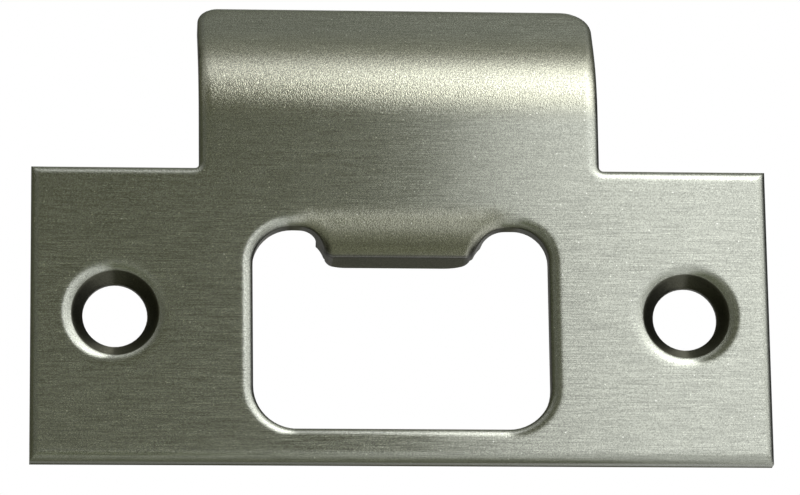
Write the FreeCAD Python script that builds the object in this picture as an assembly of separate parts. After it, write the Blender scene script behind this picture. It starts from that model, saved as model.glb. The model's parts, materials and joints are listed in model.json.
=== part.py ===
import FreeCAD, Part
import math
import os

# Door strike plate: one pressed sheet with a T outline, a lip that curves back above it, a latch opening
# whose top edge carries a tongue pressed back into the jamb, and two countersunk screw holes.
# Millimetres. X runs along the plate, Z towards the lip, and the sheet's back face, which lies on the jamb,
# is the plane Y = 0. The front face looks along -Y. The origin is midway between the screw holes.

# Plate
plate_length = 69.85
plate_height = 28.575
sheet = 1.9
root_corner = 0.45

# Front edges, drawn in by the punch: how far in from the wall and how deep, the soft start and the tight end
roll_width = 0.55
roll_depth = 0.3
roll_start_radius = 1.2
roll_end_radius = 0.4

# Lip
lip_width = 38.1
lip_rise = 5.6
lip_bend_radius = 13.5
lip_bend_angle = 33.0
lip_tail = 5.7
lip_corner_left = 2.0
lip_corner_right = 2.9

# Latch opening
opening_width = 28.1
opening_height = 19.65
opening_rail = 3.25
opening_floor_corner = 4.1
lobe_outer_left = 3.8
lobe_outer_right = 3.3
lobe_inner_left = 2.6
lobe_inner_right = 3.1
lobe_flat = 0.7

# Tongue
tongue_bend_rise = 1.45
tongue_bend_radius = 3.6
tongue_bend_angle = 90.0
tongue_run = 3.8
tongue_corner_left = 2.2
tongue_corner_right = 2.4
tongue_press_margin = 0.6
tongue_fade = 3.0

# Screw holes
screw_spacing = 53.975
screw_hole_diameter = 6.1
screw_seat_diameter = 8.15
screw_rim_diameter = 10.2
screw_rim_radius = 2.6
countersink_angle = 82.0

# How far cutters reach past the faces that they cut, and the pressed sheet past the tongue's trimmed end
overshoot = 1.0

# Lengths and turns in degrees closer than these are the same, and skin that faces forwards at least this
# much is front skin
same_length = 1e-4
same_turn = 6.0
front_facing = 0.2

# Control points of the pressed sheet: their spacing, and the rows that stay flat round its border
press_step_across = 0.9
press_step_along = 0.6
press_border_rows = 2

front = -sheet
plate_top = plate_height / 2
opening_half = opening_width / 2
opening_floor = -plate_height / 2 + opening_rail
lobe_top = opening_floor + opening_height
tongue_bend_start = lobe_top + tongue_bend_rise
tongue_left = -opening_half + lobe_outer_left + lobe_flat + lobe_inner_left
tongue_right = opening_half - lobe_outer_right - lobe_flat - lobe_inner_right
tongue_foot = tongue_bend_start - tongue_bend_radius
tongue_turn = math.radians(tongue_bend_angle)
press_half = max(-tongue_left, tongue_right) + tongue_press_margin + tongue_fade


def vector(x, y, z):
    return FreeCAD.Vector(x, y, z)


def line(start, end):
    return Part.LineSegment(start, end).toShape()


def arc(start, middle, end):
    return Part.Arc(start, middle, end).toShape()


def arc_about(centre, radius, start_angle, end_angle):
    """An arc in the plate's plane, with its angles in degrees from +X towards +Z."""
    points = []
    for degrees in (start_angle, (start_angle + end_angle) / 2, end_angle):
        angle = math.radians(degrees)
        points.append(centre + radius * vector(math.cos(angle), 0, math.sin(angle)))
    return arc(*points)


def outline(pieces):
    """A closed wire in the plate's plane: arcs as they are, with straight runs between their ends."""
    edges = []
    for piece, following in zip(pieces, pieces[1:] + pieces[:1]):
        edges.append(piece)
        start = piece.valueAt(piece.LastParameter)
        end = following.valueAt(following.FirstParameter)
        if start.distanceToPoint(end) > same_length:
            edges.append(line(start, end))
    return Part.Wire(edges)


def through_sheet(wire, reach):
    """The prism that cuts a wire's outline through everything within reach of the front face."""
    face = Part.Face(wire)
    face.translate(vector(0, front - overshoot, 0))
    return face.extrude(vector(0, reach + 2 * overshoot, 0))


def lip_section():
    """The sheet's section from the plate's bottom edge to the lip's end, in the plane X = 0."""
    angle = math.radians(lip_bend_angle)
    bend_start = plate_top + lip_rise
    bend_centre = vector(0, front + lip_bend_radius, bend_start)

    def on_bend(radius, turn):
        return bend_centre + radius * vector(0, -math.cos(turn), math.sin(turn))

    outer = lip_bend_radius
    inner = lip_bend_radius - sheet
    tail = lip_tail * vector(0, math.sin(angle), math.cos(angle))
    front_end = on_bend(outer, angle) + tail
    back_end = on_bend(inner, angle) + tail
    front_foot = vector(0, front, -plate_top)
    back_foot = vector(0, 0, -plate_top)
    return Part.Wire([
        line(front_foot, on_bend(outer, 0)),
        arc(on_bend(outer, 0), on_bend(outer, angle / 2), on_bend(outer, angle)),
        line(on_bend(outer, angle), front_end),
        line(front_end, back_end),
        line(back_end, on_bend(inner, angle)),
        arc(on_bend(inner, angle), on_bend(inner, angle / 2), on_bend(inner, 0)),
        line(on_bend(inner, 0), back_foot),
        line(back_foot, front_foot),
    ])


def side_of_lip(side, reach, depth):
    """What is cut away beside the lip, above the plate: a block with the rounded inner corner of the T."""
    inner = side * lip_width / 2
    outer = side * (plate_length / 2 + overshoot)
    root = vector(inner + side * root_corner, 0, plate_top + root_corner)
    if side > 0:
        corner = arc_about(root, root_corner, 180, 270)
    else:
        corner = arc_about(root, root_corner, 0, -90)
    low = corner.valueAt(corner.LastParameter)
    high = corner.valueAt(corner.FirstParameter)
    low_outer = vector(outer, 0, low.z)
    high_outer = vector(outer, 0, reach)
    high_inner = vector(inner, 0, reach)
    wire = Part.Wire([
        corner,
        line(low, low_outer),
        line(low_outer, high_outer),
        line(high_outer, high_inner),
        line(high_inner, high),
    ])
    return through_sheet(wire, depth)


def t_blank():
    """The T plate with its curved lip, before anything is pierced."""
    section = Part.Face(lip_section())
    section.translate(vector(-plate_length / 2, 0, 0))
    blank = section.extrude(vector(plate_length, 0, 0))
    box = blank.BoundBox
    for side in (-1, 1):
        blank = blank.cut(side_of_lip(side, box.ZMax + overshoot, box.YLength))
    return round_lip_corners(blank)


def round_lip_corners(blank):
    """Rounds the lip's two free corners, through the sheet's thickness."""
    for side, radius in ((-1, lip_corner_left), (1, lip_corner_right)):
        corners = [e for e in blank.Edges if is_lip_corner(e, side)]
        blank = blank.makeFillet(radius, corners)
    return blank


def is_lip_corner(edge, side):
    """The short edge across the sheet at one end of the lip's end face."""
    middle = edge.CenterOfMass
    across = abs(edge.Length - sheet) < same_length
    beyond_bend = middle.z > plate_top + lip_rise
    return across and beyond_bend and middle.x * side > 0


def tongue_profile(run, radius):
    """A point of the pressed sheet's section, run along the front from where the bend starts."""
    bend_length = tongue_bend_radius * tongue_turn
    offset = tongue_bend_radius - radius
    if run <= 0:
        return vector(0, front + offset, tongue_bend_start - run)
    turn = min(run / tongue_bend_radius, tongue_turn)
    straight = max(run - bend_length, 0)
    depth = tongue_bend_radius - radius * math.cos(turn) + straight * math.sin(turn)
    drop = radius * math.sin(turn) + straight * math.cos(turn)
    return vector(0, front + depth, tongue_bend_start - drop)


def fade(x):
    """How much of the bend the sheet takes at x: all of it at the tongue, none beyond the pressed width."""
    share = min(max((press_half - abs(x)) / tongue_fade, 0), 1)
    return share * share * (3 - 2 * share)


def press_runs():
    """Runs of the control points down the sheet, from the flat above the bend to past the tongue's end."""
    whole_run = tongue_bend_radius * tongue_turn + tongue_run + overshoot
    last_row = math.ceil(whole_run / press_step_along)
    return [row * press_step_along for row in range(-press_border_rows, last_row + 1)]


def press_places():
    """Places of the control points across the sheet, out to where it is flat again."""
    last_row = math.ceil(press_half / press_step_across) + press_border_rows
    return [row * press_step_across for row in range(-last_row, last_row + 1)]


def tongue_skin(radius):
    """One side of the pressed sheet, as a smooth surface: flat at its top and sides, bent in the middle."""
    runs = press_runs()
    places = press_places()
    offset = tongue_bend_radius - radius
    poles = []
    for x in places:
        share = fade(x)
        row = []
        for run in runs:
            flat = vector(x, front + offset, tongue_bend_start - run)
            bent = tongue_profile(run, radius) + vector(x, 0, 0)
            row.append(flat + share * (bent - flat))
        poles.append(row)
    degree = 3
    knots_across, mults_across = clamped_knots(len(places), degree)
    knots_along, mults_along = clamped_knots(len(runs), degree)
    surface = Part.BSplineSurface()
    surface.buildFromPolesMultsKnots(
        poles, mults_across, mults_along, knots_across, knots_along, False, False, degree, degree)
    return surface.toShape()


def clamped_knots(pole_count, degree):
    """Even knots of a curve that starts and ends at its first and last poles."""
    spans = pole_count - degree
    knots = [float(k) for k in range(spans + 1)]
    mults = [degree + 1] + [1] * (spans - 1) + [degree + 1]
    return knots, mults


def pressed_tongue():
    """The pressed part of the sheet as a solid, longer than the tongue, which the opening then trims."""
    front_skin = tongue_skin(tongue_bend_radius)
    back_skin = tongue_skin(tongue_bend_radius - sheet)
    faces = [front_skin, back_skin]
    for front_edge, back_edge in zip(front_skin.Edges, back_skin.Edges):
        faces.append(Part.makeRuledSurface(front_edge, back_edge))
    shell = Part.makeShell(faces)
    shell.sewShape()
    solid = Part.Solid(shell)
    if solid.Volume < 0:
        solid.reverse()
    return solid


def opening_outline():
    """The latch opening: a rounded window whose top edge leaves a tongue between two lobes."""
    floor_left = vector(-opening_half + opening_floor_corner, 0, opening_floor + opening_floor_corner)
    floor_right = vector(opening_half - opening_floor_corner, 0, opening_floor + opening_floor_corner)
    floor = [
        arc_about(floor_left, opening_floor_corner, 180, 270),
        arc_about(floor_right, opening_floor_corner, 270, 360),
    ]
    return outline(floor + right_lobe() + left_lobe())


def right_lobe():
    """From the opening's right side over the lobe and down the tongue's side, past its foot."""
    outer = vector(opening_half - lobe_outer_right, 0, lobe_top - lobe_outer_right)
    inner = vector(tongue_right + lobe_inner_right, 0, lobe_top - lobe_inner_right)
    slot_top = vector(tongue_right, 0, inner.z)
    slot_foot = vector(tongue_right, 0, tongue_foot - 2 * overshoot)
    return [
        arc_about(outer, lobe_outer_right, 0, 90),
        arc_about(inner, lobe_inner_right, 90, 180),
        line(slot_top, slot_foot),
    ]


def left_lobe():
    """From past the tongue's foot up its left side, over the lobe and to the opening's left side."""
    outer = vector(-opening_half + lobe_outer_left, 0, lobe_top - lobe_outer_left)
    inner = vector(tongue_left - lobe_inner_left, 0, lobe_top - lobe_inner_left)
    slot_top = vector(tongue_left, 0, inner.z)
    slot_foot = vector(tongue_left, 0, tongue_foot - 2 * overshoot)
    return [
        line(slot_foot, slot_top),
        arc_about(inner, lobe_inner_left, 0, 90),
        arc_about(outer, lobe_outer_left, 90, 180),
    ]


def tongue_direction():
    """The way that the tongue runs past its bend."""
    return vector(0, math.sin(tongue_turn), -math.cos(tongue_turn))


def tongue_bend_end():
    """Where the bend ends on the tongue's front skin, at X = 0."""
    return tongue_profile(tongue_bend_radius * tongue_turn, tongue_bend_radius)


def trim_tongue(plate):
    """Cuts the tongue to its length, square to its own sheet, and rounds its two free corners."""
    along = tongue_direction()
    outward = vector(0, -math.cos(tongue_turn), -math.sin(tongue_turn))
    bend_end = tongue_bend_end()

    def at(x, run):
        return bend_end + vector(x, 0, 0) + run * along + overshoot * outward

    def corner(tongue_side, inwards, radius):
        short = radius * (1 - math.sqrt(0.5))
        side_end = at(tongue_side, tongue_run - radius)
        middle = at(tongue_side + inwards * short, tongue_run - short)
        tip_end = at(tongue_side + inwards * radius, tongue_run)
        return side_end, middle, tip_end

    left_side, left_middle, left_tip = corner(tongue_left, 1, tongue_corner_left)
    right_side, right_middle, right_tip = corner(tongue_right, -1, tongue_corner_right)
    left_edge = at(tongue_left - overshoot, tongue_run - tongue_corner_left)
    left_far = at(tongue_left - overshoot, tongue_run + 2 * overshoot)
    right_far = at(tongue_right + overshoot, tongue_run + 2 * overshoot)
    right_edge = at(tongue_right + overshoot, tongue_run - tongue_corner_right)
    offcut = Part.Wire([
        arc(left_side, left_middle, left_tip),
        line(left_tip, right_tip),
        arc(right_tip, right_middle, right_side),
        line(right_side, right_edge),
        line(right_edge, right_far),
        line(right_far, left_far),
        line(left_far, left_edge),
        line(left_edge, left_side),
    ])
    return plate.cut(Part.Face(offcut).extrude(-(sheet + 2 * overshoot) * outward))


def pierce_opening(blank):
    """Presses the tongue into the blank and cuts the latch opening round it."""
    half_width = press_places()[-1]
    top_run, *_, bottom_run = press_runs()
    window_foot = vector(-half_width, front, tongue_bend_start - bottom_run)
    window = Part.makeBox(2 * half_width, sheet, bottom_run - top_run, window_foot)
    tongue = pressed_tongue()
    pressed = blank.cut(window).fuse(tongue)
    return pressed.cut(through_sheet(opening_outline(), tongue.BoundBox.YMax - front))


def is_front(face):
    """Whether a face belongs to the sheet's front skin."""
    u_low, u_high, v_low, v_high = face.ParameterRange
    normal = face.normalAt((u_low + u_high) / 2, (v_low + v_high) / 2)
    return -normal.y > front_facing


def edges_and_faces(solid):
    """Every edge of a solid with the faces that meet at it, in the solid's own order."""
    found = {}
    for face in solid.Faces:
        for edge in face.Edges:
            found.setdefault(edge.hashCode(), (edge, []))[1].append(face)
    return found.values()


def is_offcut(edge):
    """Whether an edge lies on the tongue's waste, past the end that it is trimmed to."""
    middle = edge.CenterOfMass
    run = (middle - tongue_bend_end()).dot(tongue_direction())
    return middle.z < tongue_bend_start and run > tongue_run


def rim_edges(plate):
    """Edges where the front skin meets a cut wall, at least one of each rim. A chamfer measures its first size
    on the first of an edge's two faces, so these are the edges whose first face is the skin."""
    rims = [e for e, faces in edges_and_faces(plate) if is_front(faces[0]) and not is_front(faces[-1])]
    return [e for e in rims if not is_offcut(e)]


def edges_that_turn(solid, degrees):
    """The edges at which the skin turns by an angle, half way along them, apart from the tongue's waste."""
    turning = []
    for edge, faces in edges_and_faces(solid):
        if is_offcut(edge):
            continue
        middle = edge.valueAt((edge.FirstParameter + edge.LastParameter) / 2)
        first, last = [f.normalAt(*f.Surface.parameter(middle)) for f in (faces[0], faces[-1])]
        if abs(math.degrees(first.getAngle(last)) - degrees) < same_turn:
            turning.append(edge)
    return turning


def roll_front_edges(plate):
    """Draws in every front edge as the punch does: a slope with a soft start and a tight turn to the wall."""
    slope = math.degrees(math.atan2(roll_depth, roll_width))
    rolled = plate.makeChamfer(roll_width, roll_depth, rim_edges(plate))
    rolled = rolled.makeFillet(roll_start_radius, edges_that_turn(rolled, slope))
    return rolled.makeFillet(roll_end_radius, edges_that_turn(rolled, 90 - slope))


def screw_hole_cutter():
    """The cutter of one screw hole on the axis X = Z = 0: dished rim, countersink and plain hole."""
    hole = screw_hole_diameter / 2
    seat = screw_seat_diameter / 2
    rim = screw_rim_diameter / 2
    turn = math.asin((rim - seat) / screw_rim_radius)
    seat_depth = screw_rim_radius * (1 - math.cos(turn))
    cone_depth = seat_depth + (seat - hole) / math.tan(math.radians(countersink_angle / 2))
    end_depth = max(sheet, cone_depth) + overshoot

    def at(radius, depth):
        return vector(radius, front + depth, 0)

    half_in = screw_rim_radius * math.sin(turn / 2)
    half_down = screw_rim_radius * (1 - math.cos(turn / 2))
    profile = Part.Wire([
        line(at(0, -overshoot), at(rim, -overshoot)),
        line(at(rim, -overshoot), at(rim, 0)),
        arc(at(rim, 0), at(rim - half_in, half_down), at(seat, seat_depth)),
        line(at(seat, seat_depth), at(hole, cone_depth)),
        line(at(hole, cone_depth), at(hole, end_depth)),
        line(at(hole, end_depth), at(0, end_depth)),
        line(at(0, end_depth), at(0, -overshoot)),
    ])
    return Part.Face(profile).revolve(vector(0, 0, 0), vector(0, 1, 0), 360)


def pierce_screw_holes(plate):
    for side in (-1, 1):
        cutter = screw_hole_cutter()
        cutter.translate(vector(side * screw_spacing / 2, 0, 0))
        plate = plate.cut(cutter)
    return plate


def strike_plate():
    plate = pierce_opening(t_blank())
    plate = roll_front_edges(plate)
    plate = trim_tongue(plate)
    return pierce_screw_holes(plate)


os.makedirs("parts", exist_ok=True)
solid = strike_plate()
box = solid.BoundBox
print("valid", solid.isValid(), "solids", len(solid.Solids), "faces", len(solid.Faces))
print("volume mm3", round(solid.Volume, 2), "box mm", box)
solid.exportStep("parts/strike_plate.step")
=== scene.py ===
import json
import math
from typing import NamedTuple

import bpy
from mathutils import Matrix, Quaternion, Vector

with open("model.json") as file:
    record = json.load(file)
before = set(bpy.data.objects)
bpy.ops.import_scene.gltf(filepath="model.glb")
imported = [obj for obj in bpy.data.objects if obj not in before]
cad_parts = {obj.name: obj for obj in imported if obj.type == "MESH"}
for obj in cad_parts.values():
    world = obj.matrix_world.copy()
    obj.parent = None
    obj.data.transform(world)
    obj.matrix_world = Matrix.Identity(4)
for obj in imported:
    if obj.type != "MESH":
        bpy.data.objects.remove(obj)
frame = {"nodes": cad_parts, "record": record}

bl_info = {
    "name": "Door Strike Plate",
    "version": (1, 0, 0),
    "blender": (4, 5, 0),
    "location": "3D View > Sidebar > Strike Plate",
    "description": "Gives a pressed door strike plate its brushed satin finish and sets its stage",
    "category": "Object",
}

# The plate and its mounts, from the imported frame. Lengths in the frame are metres.
PLATE = frame["nodes"]["strike_plate"]
MOUNTS = {mount["name"]: mount for mount in frame["record"]["mounts"]}
SCREW_DIMS = MOUNTS["screw_holes"]["dims"]
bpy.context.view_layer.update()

MM = 0.001
PER_MM = 1000.0

# Where the plate's finishes change, in millimetres from the point midway between the screw holes. Two numbers
# are where a change starts and ends. Four are where a band starts, is whole, starts to go and is gone.
LIP_REACH = (7.0, 14.0)
LIP_BEND = (18.5, 22.0, 26.0, 29.5)
TONGUE_HALF_WIDTH = (8.0, 11.5)
TONGUE_SIDE = (6.3, 6.9)
TONGUE_BEND = (5.0, 6.0, 9.0, 11.2)
TONGUE_ROOT = (7.2, 7.5)
# Where the tongue's line of painted shade lies in depth
TONGUE_SHADE_LINE = (0.85, 1.15, 1.65, 1.95)
UNDER_TONGUE = (1.45, 1.75)
BOTTOM_WALL = (-13.6, -12.6)
BOTTOM_WALL_BACK = (-0.7, -0.3)
COUNTERSINK_MARGIN = 1.0
COUNTERSINK_FADE = 0.15

# The same for the way that the skin faces, as parts of its normal: front or back for the cut walls and for
# the walls that keep their own normal, back for the back face, and left or right for the rolled edges
CUT_WALL = (0.25, 0.75)
BACK_FACE = (0.3, 0.7)
OWN_NORMAL = (0.1, 0.4)
SIDE_ROLL = (0.05, 0.3)

# How much of its hairlines the lip loses, and how much of its brushing the front of the bottom wall keeps,
# which also spares it that much of the painted shade of the cut walls
LIP_GRAIN = 0.6
BOTTOM_BRUSHING = 0.8

# The patterns: the share and sizes of the broad lines among the hairlines, the grit's size as a share of the
# peel's, and the reach of a painted glint, a bright speck, as shares of its cell
BROAD_SHARE = 0.1
BROAD_LENGTH = 4.0
BROAD_WIDTH = 2.5
GRIT_SIZE = 0.62
GLINT_REACH = (0.05, 0.1)

# How the patterns lighten and darken the metal: the noise that gives the lowest and the highest gain, and
# those two gains. Glints are painted highlights that add their gain. The last two are painted shade, on the
# tongue's bend line and on the rolled edges that face left or right, and take their loss away.
LINE_GAIN = (0.25, 0.75, 0.80, 1.20)
GRIT_GAIN = (0.2, 0.8, 0.66, 1.34)
PEEL_GAIN = (0.3, 0.7, 0.70, 1.30)
GLINT_GAIN = 0.8
TONGUE_SHADE_LOSS = 0.6
SIDE_ROLL_SHADE = 0.22

# How the hairlines change the satin's roughness: the noise, and what it adds
SATIN_NOISE = (0.3, 0.7)
SATIN_CHANGE = (-0.02, 0.03)

# How much of the bends' peel the rolled edges have, and the samples that blend those edges
ROLL_PEEL = 0.5
BLEND_SAMPLES = 12

# The brush's gloss spreads up the plate, tilted by this much so that walls that face up or down have it too
WALL_TILT = 0.05


class PlateFinish(bpy.types.PropertyGroup):
    metal_colour: bpy.props.FloatVectorProperty(
        name="Metal",
        description="Colour of the satin metal where it is brushed",
        subtype="COLOR",
        default=(0.525, 0.545, 0.485),
        min=0.0,
        max=1.0,
    )
    # Painted highlight tint: the colour of the bends is warmed where their highlights fall
    bend_highlight_colour: bpy.props.FloatVectorProperty(
        name="Bent metal",
        description="Colour of the satin metal where bending has stretched its skin",
        subtype="COLOR",
        default=(0.555, 0.56, 0.465),
        min=0.0,
        max=1.0,
    )
    # Painted shade: this dark colour paints shade in the cut walls, the countersinks and under the tongue,
    # and it is also the colour of their unbrushed metal
    bare_and_shade_colour: bpy.props.FloatVectorProperty(
        name="Bare metal",
        description="Colour of the metal that the brush misses: cut walls, countersinks and under the tongue",
        subtype="COLOR",
        default=(0.16, 0.16, 0.125),
        min=0.0,
        max=1.0,
    )
    satin: bpy.props.FloatProperty(
        name="Satin",
        description="Roughness of the brushed metal",
        subtype="FACTOR",
        default=0.165,
        min=0.0,
        max=1.0,
    )
    hairline_length: bpy.props.FloatProperty(
        name="Hairline length",
        description="How long the brush's finest lines are, along the plate",
        unit="LENGTH",
        default=3 * MM,
    )
    hairline_width: bpy.props.FloatProperty(
        name="Hairline width",
        description="How wide the brush's finest lines are",
        unit="LENGTH",
        default=0.065 * MM,
    )
    hairline_depth: bpy.props.FloatProperty(
        name="Hairline depth",
        description="How deep the brush's lines are",
        unit="LENGTH",
        default=0.002 * MM,
    )
    peel_size: bpy.props.FloatProperty(
        name="Peel size",
        description="Size of the grain that bending raises in the skin",
        unit="LENGTH",
        default=0.13 * MM,
    )
    peel_depth: bpy.props.FloatProperty(
        name="Peel depth",
        description="Height of the grain that bending raises in the skin",
        unit="LENGTH",
        default=0.012 * MM,
    )
    roll_satin: bpy.props.FloatProperty(
        name="Rolled edge satin",
        description="Roughness of the metal where the punch has drawn the edges in",
        subtype="FACTOR",
        default=0.24,
        min=0.0,
        max=1.0,
    )
    roll_blend: bpy.props.FloatProperty(
        name="Rolled edge blend",
        description="How far brushing blends a rolled edge into the flat skin",
        unit="LENGTH",
        default=0.8 * MM,
    )
    # Painted glints: each cell holds one bright speck painted into the colour
    glint_spacing: bpy.props.FloatProperty(
        name="Speck spacing",
        description="Size of the cells that each hold one bright speck in the metal",
        unit="LENGTH",
        default=0.9 * MM,
    )
    bare_satin: bpy.props.FloatProperty(
        name="Bare satin",
        description="Roughness of the metal that the brush doesn't reach",
        subtype="FACTOR",
        default=0.5,
        min=0.0,
        max=1.0,
    )


class PlateStage(bpy.types.PropertyGroup):
    floor_drop: bpy.props.FloatProperty(
        name="Floor drop",
        description="How far the floor lies below the screw holes",
        unit="LENGTH",
        default=0.6,
    )
    floor_size: bpy.props.FloatProperty(
        name="Floor size",
        description="Length of the floor's sides",
        unit="LENGTH",
        default=12.0,
    )
    floor_colour: bpy.props.FloatVectorProperty(
        name="Floor",
        description="Colour of the floor",
        subtype="COLOR",
        default=(0.86, 0.86, 0.86),
        min=0.0,
        max=1.0,
    )
    flag_colour: bpy.props.FloatVectorProperty(
        name="Flags",
        description="Colour of the dark cards on the left, which the satin metal mirrors",
        subtype="COLOR",
        default=(0.122, 0.124, 0.082),
        min=0.0,
        max=1.0,
    )
    lens: bpy.props.FloatProperty(
        name="Lens",
        description="Focal length of the camera, for a 36 mm wide sensor",
        unit="CAMERA",
        default=225.0,
    )


class Wiring:
    """Adds nodes to one node tree and links what they are given to their sockets."""

    # The mix node's two inputs and its output, which are different sockets for each kind of value
    MIX_SOCKETS = {"FLOAT": (2, 3, 0), "VECTOR": (4, 5, 1), "RGBA": (6, 7, 2)}

    def __init__(self, tree):
        self.tree = tree
        tree.nodes.clear()

    def add(self, kind, inputs, **settings):
        node = self.tree.nodes.new(kind)
        for name, value in settings.items():
            setattr(node, name, value)
        for name, value in inputs.items():
            self.plug(node.inputs[name], value)
        return node

    def plug(self, socket, value):
        if isinstance(value, bpy.types.NodeSocket):
            self.tree.links.new(value, socket)
        else:
            socket.default_value = value

    def math(self, operation, first, second=0.0):
        node = self.add("ShaderNodeMath", {0: first, 1: second}, operation=operation)
        return node.outputs[0]

    def times(self, first, second):
        return self.math("MULTIPLY", first, second)

    def most(self, first, *others):
        """The largest of some values."""
        for other in others:
            first = self.math("MAXIMUM", first, other)
        return first

    def rest(self, share):
        """What a share leaves of one."""
        return self.math("SUBTRACT", 1.0, share)

    def ramp(self, value, start, end, low=0.0, high=1.0):
        """A smooth rise from low at start to high at end."""
        node = self.add(
            "ShaderNodeMapRange",
            {"Value": value, "From Min": start, "From Max": end, "To Min": low, "To Max": high},
            interpolation_type="SMOOTHSTEP",
        )
        return node.outputs["Result"]

    def fall(self, value, start, end):
        """A smooth fall from one at start to nothing at end."""
        return self.ramp(value, start, end, 1.0, 0.0)

    def band(self, value, rise_start, rise_end, fall_start, fall_end):
        """One between rise_end and fall_start, and smoothly nothing beyond."""
        return self.times(self.ramp(value, rise_start, rise_end), self.fall(value, fall_start, fall_end))

    def mix(self, kind, share, first, second):
        """Goes from first to second by a share, for values of one kind: FLOAT, VECTOR or RGBA."""
        first_socket, second_socket, result = self.MIX_SOCKETS[kind]
        node = self.add("ShaderNodeMix", {"Factor": share}, data_type=kind)
        self.plug(node.inputs[first_socket], first)
        self.plug(node.inputs[second_socket], second)
        return node.outputs[result]

    def noise(self, place, sizes, detail=2.0, roughness=0.5):
        """Noise between 0 and 1 whose spots have the given sizes along x, y and z."""
        scale = [1.0 / size for size in sizes]
        mapping = self.add("ShaderNodeMapping", {"Vector": place, "Scale": scale})
        node = self.add(
            "ShaderNodeTexNoise",
            {
                "Vector": mapping.outputs[0],
                "Scale": 1.0,
                "Detail": detail,
                "Roughness": roughness,
            },
        )
        return node.outputs[0]

    def surface(self, shader):
        self.add("ShaderNodeOutputMaterial", {"Surface": shader.outputs[0]})


def opaque(colour):
    return (*colour, 1.0)


def new_material(name):
    material = bpy.data.materials.new(name)
    material.use_nodes = True
    return material, Wiring(material.node_tree)


class Skin(NamedTuple):
    """A point of the plate's skin: its place in metres, the same in millimetres, and its normal.

    The last three are how far the normal points left or right, to the front or back, and to the back."""

    place: bpy.types.NodeSocket
    x: bpy.types.NodeSocket
    y: bpy.types.NodeSocket
    z: bpy.types.NodeSocket
    normal: bpy.types.NodeSocket
    left_or_right: bpy.types.NodeSocket
    front_or_back: bpy.types.NodeSocket
    back: bpy.types.NodeSocket


class Zones(NamedTuple):
    """How much of each of the plate's finishes a point has, and where shade is painted: on the tongue's bend
    line, on the rolled edges that face left or right, and on the unbrushed walls.
    """

    bends: bpy.types.NodeSocket
    side_roll: bpy.types.NodeSocket
    tongue_shade_line: bpy.types.NodeSocket
    bare_and_shaded: bpy.types.NodeSocket
    unbrushed: bpy.types.NodeSocket


class Patterns(NamedTuple):
    """The noises of the brushed and bent metal, and the painted glints."""

    lines: bpy.types.NodeSocket
    peel: bpy.types.NodeSocket
    grit: bpy.types.NodeSocket
    glints: bpy.types.NodeSocket


def plate_skin(w):
    place = w.add("ShaderNodeTexCoord", {}).outputs["Object"]
    scaled = w.add("ShaderNodeVectorMath", {0: place, "Scale": PER_MM}, operation="SCALE")
    x, y, z = w.add("ShaderNodeSeparateXYZ", {0: scaled.outputs[0]}).outputs
    normal = w.add("ShaderNodeNewGeometry", {}).outputs["Normal"]
    right, back, _ = w.add("ShaderNodeSeparateXYZ", {0: normal}).outputs
    left_or_right = w.math("ABSOLUTE", right)
    front_or_back = w.math("ABSOLUTE", back)
    return Skin(place, x, y, z, normal, left_or_right, front_or_back, back)


def countersinks(w, skin, off_middle):
    """The walls of the two screw holes and their countersinks, without the back face round them, where the
    dark unbrushed colour paints shade.
    """
    screw_side = w.math("SUBTRACT", off_middle, SCREW_DIMS["spacing_x_mm"] / 2)
    squares = w.math("ADD", w.times(screw_side, screw_side), w.times(skin.z, skin.z))
    seat = SCREW_DIMS["hole_r_mm"] + COUNTERSINK_MARGIN
    within = w.fall(w.math("SQRT", squares), seat, seat + COUNTERSINK_FADE)
    return w.times(within, w.fall(skin.back, *BACK_FACE))


def plate_zones(w, skin):
    off_middle = w.math("ABSOLUTE", skin.x)
    lip_grain = w.ramp(skin.z, *LIP_REACH, 0.0, LIP_GRAIN)
    lip_bend = w.band(skin.z, *LIP_BEND)
    tongue_height = w.band(skin.z, *TONGUE_BEND)
    tongue_bend = w.times(w.fall(off_middle, *TONGUE_HALF_WIDTH), tongue_height)
    bends = w.most(lip_bend, tongue_bend)

    # Walls that a cut has left unbrushed, apart from the tongue's skin and the front of the bottom edge.
    # These walls also get painted shade from their dark colour.
    tongue_skin = w.times(w.fall(off_middle, *TONGUE_SIDE), tongue_height)
    bottom_wall = w.times(
        w.ramp(skin.z, *BOTTOM_WALL, BOTTOM_BRUSHING, 0.0), w.fall(skin.y, *BOTTOM_WALL_BACK))
    cut_wall = w.times(w.fall(skin.front_or_back, *CUT_WALL), w.rest(w.most(tongue_skin, bottom_wall)))

    below_root = w.fall(skin.z, *TONGUE_ROOT)
    # Painted shade under the tongue
    under_tongue = w.times(w.ramp(skin.y, *UNDER_TONGUE), below_root)
    # A painted dark line of shade where the tongue's front turns under
    tongue_shade_line = w.times(w.band(skin.y, *TONGUE_SHADE_LINE), below_root)
    # The rolled edges that face left or right, which also get painted shade
    side_roll = w.ramp(skin.left_or_right, *SIDE_ROLL)
    # Cut walls, countersinks and the underside of the tongue, which get the dark unbrushed colour as painted
    # shade
    bare_and_shaded = w.most(cut_wall, countersinks(w, skin, off_middle), under_tongue)
    unbrushed = w.most(bends, lip_grain, side_roll, bare_and_shaded)
    return Zones(bends, side_roll, tongue_shade_line, bare_and_shaded, unbrushed)


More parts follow.
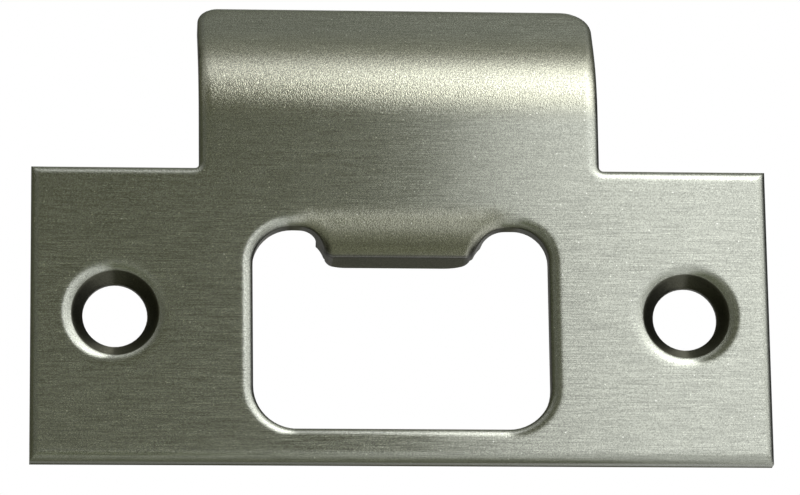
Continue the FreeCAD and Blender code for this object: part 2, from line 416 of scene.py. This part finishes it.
def plate_patterns(w, skin, finish):
    width = finish.hairline_width
    broad_width = width * BROAD_WIDTH
    hairlines = w.noise(skin.place, (finish.hairline_length, width, width), detail=2.0, roughness=0.6)
    broad_lines = w.noise(skin.place, (finish.hairline_length * BROAD_LENGTH, broad_width, broad_width))
    lines = w.mix("FLOAT", BROAD_SHARE, hairlines, broad_lines)
    peel = w.noise(skin.place, (finish.peel_size,) * 3, detail=2.0, roughness=0.6)
    grit = w.noise(skin.place, (finish.peel_size * GRIT_SIZE,) * 3, detail=1.0, roughness=0.5)
    # Painted glints: one bright speck in each cell
    cells = w.add("ShaderNodeTexVoronoi", {"Vector": skin.place, "Scale": 1.0 / finish.glint_spacing})
    glints = w.fall(cells.outputs["Distance"], *GLINT_REACH)
    return Patterns(lines, peel, grit, glints)


def plate_colour(w, zones, patterns, finish):
    line_gain = w.mix("FLOAT", zones.unbrushed, w.ramp(patterns.lines, *LINE_GAIN), 1.0)
    grit_gain = w.mix(
        "FLOAT", zones.bends, w.ramp(patterns.grit, *GRIT_GAIN), w.ramp(patterns.peel, *PEEL_GAIN))
    gain = w.times(line_gain, grit_gain)
    # Painted glints brighten the colour
    gain = w.times(gain, w.math("ADD", 1.0, w.times(patterns.glints, GLINT_GAIN)))
    # Painted shade along the tongue's bend line
    gain = w.times(gain, w.rest(w.times(zones.tongue_shade_line, TONGUE_SHADE_LOSS)))
    # Painted shade on the rolled edges that face left or right
    gain = w.times(gain, w.rest(w.times(zones.side_roll, SIDE_ROLL_SHADE)))
    # A warm tint painted on the bends where their highlights fall
    metal = w.mix("RGBA", zones.bends, opaque(finish.metal_colour), opaque(finish.bend_highlight_colour))
    # The dark unbrushed colour paints shade in the cut walls, in the countersinks and under the tongue
    plain = w.mix("RGBA", zones.bare_and_shaded, metal, opaque(finish.bare_and_shade_colour))
    return w.add("ShaderNodeVectorMath", {0: plain, "Scale": gain}, operation="SCALE").outputs[0]


def plate_roughness(w, zones, patterns, finish):
    low, high = [finish.satin + change for change in SATIN_CHANGE]
    brushed = w.ramp(patterns.lines, *SATIN_NOISE, low, high)
    rolled = w.mix("FLOAT", zones.side_roll, brushed, finish.roll_satin)
    return w.mix("FLOAT", zones.bare_and_shaded, rolled, finish.bare_satin)


def plate_relief(w, skin, zones, patterns, finish):
    """The skin's normal: rolled edges blended into the flat, hairlines on the flat, and peel on the bends."""
    rolled = w.add("ShaderNodeBevel", {"Radius": finish.roll_blend}, samples=BLEND_SAMPLES)
    blended = w.mix("VECTOR", w.ramp(skin.front_or_back, *OWN_NORMAL), skin.normal, rolled.outputs[0])
    line_bump = w.add("ShaderNodeBump", {
        "Strength": w.rest(zones.unbrushed),
        "Distance": finish.hairline_depth,
        "Height": patterns.lines,
        "Normal": blended,
    })
    peel_bump = w.add("ShaderNodeBump", {
        "Strength": w.most(zones.bends, w.times(zones.side_roll, ROLL_PEEL)),
        "Distance": finish.peel_depth,
        "Height": patterns.peel,
        "Normal": line_bump.outputs[0],
    })
    return peel_bump.outputs[0]


def satin_metal(finish):
    """Brushed satin metal: hairlines along the plate, a peeled grain on its bends and unbrushed cut walls,
    with painted shade on those walls, the rolled edges and the tongue's bend line, painted glints, and a warm
    tint painted where the bends' highlights fall.
    """
    material, w = new_material("satin_metal")
    skin = plate_skin(w)
    zones = plate_zones(w, skin)
    patterns = plate_patterns(w, skin, finish)
    across_lines = w.add("ShaderNodeCombineXYZ", {"Y": WALL_TILT, "Z": 1.0})
    w.surface(w.add("ShaderNodeBsdfPrincipled", {
        "Base Color": plate_colour(w, zones, patterns, finish),
        "Metallic": 1.0,
        "Roughness": plate_roughness(w, zones, patterns, finish),
        "Anisotropic": 1.0,
        "Tangent": across_lines.outputs[0],
        "Normal": plate_relief(w, skin, zones, patterns, finish),
    }))
    return material


class STRIKE_OT_finish_plate(bpy.types.Operator):
    """Gives the pressed plate its brushed satin finish"""

    bl_idname = "strike.finish_plate"
    bl_label = "Finish the plate"

    def execute(self, context):
        material = satin_metal(context.scene.plate_finish)
        PLATE.data.materials.clear()
        PLATE.data.materials.append(material)
        return {"FINISHED"}


# Turns of the stage's planes, in degrees about x, y and z. Sloping leans the card towards the plate.
FLAT = (0.0, 0.0, 0.0)
UPRIGHT = (90.0, 0.0, 0.0)
SIDEWAYS = (90.0, 0.0, 90.0)
SLOPING = (45.0, 0.0, 0.0)


class Card(NamedTuple):
    """A card that only reflections see: a dark one hides the white room, and a glowing one adds to it.

    Sizes and places are in metres. A card fades at its edges, across and along. Each edge has one or more
    fades, which share it out evenly, and a fade is a place where the card is gone and one where it is whole,
    from the card's middle. A fade that lies off the card leaves its share whole. A card with no colour of its
    own takes the stage's."""

    name: str
    size: tuple
    centre: tuple
    turns: tuple
    colour: tuple
    across: list
    along: list
    glow: bool = False


CARDS = (
    # The dark left of the room, in front of the plate, up high and at its side
    Card("left_flag", (1.4, 0.70), (-0.5, -0.6, 0.37), UPRIGHT, None,
         [[(0.571, 0.552), (0.624, 0.554)]], [[(-0.345, -0.29)], [(0.24, 0.14)]]),
    Card("corner_flag", (1.4, 0.40), (-0.68, -0.59, 0.50), UPRIGHT, None,
         [[(0.735, 0.665)]], [[(-0.2, -0.1)], [(0.19, 0.12)]]),
    Card("side_flag", (1.1, 1.3), (-0.65, 0.0, 0.0), SIDEWAYS, None,
         [[(0.55, 0.45)]], [[(0.65, 0.5)]]),
    # What the tongue's bend and the bottom edge mirror
    Card("low_flag", (2.4, 0.36), (0.0, -0.62, -0.14), UPRIGHT, (0.15, 0.16, 0.10),
         [[(0.05, -0.01), (0.09, 0.02), (1.1, 0.7)]], [[(0.18, 0.15)]]),
    Card("low_right_flag", (1.0, 0.40), (0.75, -0.63, -0.14), UPRIGHT, (0.52, 0.52, 0.48),
         [[(-0.5, -0.42)]], [[(0.20, 0.05)]]),
    Card("under_flag", (2.4, 1.2), (0.0, -0.02, -0.32), FLAT, (0.17, 0.175, 0.13),
         [[(0.085, 0.05), (0.10, 0.055), (1.2, 0.8)]],
         [[(-1.0, 0.05), (-9.0, -8.0)], [(0.6, 0.5)]]),
    # What the edges that face right, the walls and the lip's end mirror
    Card("right_flag", (2.0, 1.6), (0.7, 0.30, 0.0), SIDEWAYS, (0.06, 0.06, 0.06),
         [[(-0.80, -0.30)]], [[(0.8, 0.6)]]),
    Card("back_flag", (2.4, 1.3), (0.0, 0.55, 0.0), UPRIGHT, (0.30, 0.30, 0.29),
         [[(-1.2, -0.5)], [(0.14, 0.0), (0.14, 0.0), (1.2, 0.5)]], [[(0.65, 0.2)]]),
    Card("top_flag", (2.4, 1.2), (0.0, 0.34, 0.5), FLAT, (0.20, 0.205, 0.17),
         [[(1.2, 0.8)]], [[(-0.60, -0.54)], [(0.6, 0.4)]]),
    # Soft light on the right of the lip's bend and of the plate
    Card("glow", (1.2, 0.6), (0.55, -0.62, 0.62), SLOPING, (1.85, 1.85, 1.8),
         [[(-0.505, -0.445)]], [[(-0.3, -0.18)], [(0.3, 0.1)]], glow=True),
    Card("low_glow", (0.5, 0.4), (0.30, -0.61, 0.41), UPRIGHT, (0.45, 0.45, 0.43),
         [[(-0.235, -0.215)]], [[(-0.16, -0.10)]], glow=True),
)

# The camera's place, the point on the plate's front that it looks at, its roll in degrees and its sensor
CAMERA_PLACE = Vector((-36.46, -455.53, -120.71)) * MM
CAMERA_AIM = Vector((-0.12, -1.90, 6.48)) * MM
CAMERA_ROLL = -0.783
SENSOR_WIDTH = 36.0


def add_plane(name, size, centre, turns):
    """A rectangle for the stage: its sizes, its middle, and its turns about x, y and z in degrees."""
    bpy.ops.object.select_all(action="DESELECT")
    bpy.ops.mesh.primitive_plane_add(
        size=1.0, location=centre, rotation=[math.radians(turn) for turn in turns])
    plane = bpy.context.active_object
    plane.name = name
    plane.scale = (size[0], size[1], 1.0)
    bpy.ops.object.transform_apply(location=False, rotation=False, scale=True)
    return plane


def add_floor(stage):
    side = stage.floor_size
    floor = add_plane("floor", (side, side), (0.0, 0.0, -stage.floor_drop), FLAT)
    material, w = new_material("pale_floor")
    w.surface(w.add("ShaderNodeBsdfDiffuse", {"Color": opaque(stage.floor_colour)}))
    floor.data.materials.append(material)


def edge_fade(w, distance, edges):
    """How much of a card is there at a distance from its middle, with the fades of its edges."""
    cover = 1.0
    for edge in edges:
        share = 0.0
        for gone, whole in edge:
            if whole > gone:
                shown = w.ramp(distance, gone, whole)
            else:
                shown = w.fall(distance, whole, gone)
            share = w.math("ADD", share, w.math("DIVIDE", shown, len(edge)))
        cover = w.times(cover, share)
    return cover


def add_card(card, colour):
    plane = add_plane(card.name, card.size, card.centre, card.turns)
    plane.visible_camera = False
    plane.visible_diffuse = False
    plane.visible_shadow = False
    material, w = new_material(card.name)
    place = w.add("ShaderNodeTexCoord", {}).outputs["Object"]
    x, y, _ = w.add("ShaderNodeSeparateXYZ", {0: place}).outputs
    cover = w.times(edge_fade(w, x, card.across), edge_fade(w, y, card.along))
    clear = w.add("ShaderNodeBsdfTransparent", {})
    if card.glow:
        light = w.add("ShaderNodeEmission", {"Color": opaque(colour), "Strength": cover})
        w.surface(w.add("ShaderNodeAddShader", {0: clear.outputs[0], 1: light.outputs[0]}))
    else:
        dark = w.add("ShaderNodeEmission", {"Color": opaque(colour), "Strength": 1.0})
        w.surface(w.add("ShaderNodeMixShader", {0: cover, 1: clear.outputs[0], 2: dark.outputs[0]}))
    plane.data.materials.append(material)


def add_camera(stage):
    data = bpy.data.cameras.new("camera")
    data.sensor_width = SENSOR_WIDTH
    data.lens = stage.lens
    camera = bpy.data.objects.new("camera", data)
    camera.location = CAMERA_PLACE
    camera.rotation_mode = "QUATERNION"
    level = (CAMERA_AIM - CAMERA_PLACE).to_track_quat("-Z", "Y")
    camera.rotation_quaternion = level @ Quaternion((0.0, 0.0, 1.0), math.radians(CAMERA_ROLL))
    bpy.context.scene.collection.objects.link(camera)
    bpy.context.scene.camera = camera


def white_world():
    world = bpy.data.worlds.new("white_room")
    world.use_nodes = True
    w = Wiring(world.node_tree)
    sky = w.add("ShaderNodeBackground", {"Color": (1.0, 1.0, 1.0, 1.0), "Strength": 1.0})
    w.add("ShaderNodeOutputWorld", {"Surface": sky.outputs[0]})
    bpy.context.scene.world = world


class STRIKE_OT_set_stage(bpy.types.Operator):
    """Sets the white room, the floor, the cards that the metal mirrors and the camera"""

    bl_idname = "strike.set_stage"
    bl_label = "Set the stage"

    def execute(self, context):
        stage = context.scene.plate_stage
        white_world()
        add_floor(stage)
        for card in CARDS:
            add_card(card, card.colour or stage.flag_colour)
        add_camera(stage)
        context.scene.view_settings.view_transform = "Standard"
        return {"FINISHED"}


class STRIKE_PT_panel(bpy.types.Panel):
    bl_idname = "STRIKE_PT_panel"
    bl_label = "Strike Plate"
    bl_space_type = "VIEW_3D"
    bl_region_type = "UI"
    bl_category = "Strike Plate"

    def draw(self, context):
        layout = self.layout
        for group in (context.scene.plate_finish, context.scene.plate_stage):
            box = layout.box()
            for name in group.__annotations__:
                box.prop(group, name)
        for operator in (STRIKE_OT_finish_plate, STRIKE_OT_set_stage):
            layout.operator(operator.bl_idname)


CLASSES = (PlateFinish, PlateStage, STRIKE_OT_finish_plate, STRIKE_OT_set_stage, STRIKE_PT_panel)


def register():
    for cls in CLASSES:
        bpy.utils.register_class(cls)
    bpy.types.Scene.plate_finish = bpy.props.PointerProperty(type=PlateFinish)
    bpy.types.Scene.plate_stage = bpy.props.PointerProperty(type=PlateStage)


def unregister():
    del bpy.types.Scene.plate_stage
    del bpy.types.Scene.plate_finish
    for cls in reversed(CLASSES):
        bpy.utils.unregister_class(cls)


def main():
    register()
    bpy.ops.strike.finish_plate()
    bpy.ops.strike.set_stage()


if __name__ == "__main__":
    main()
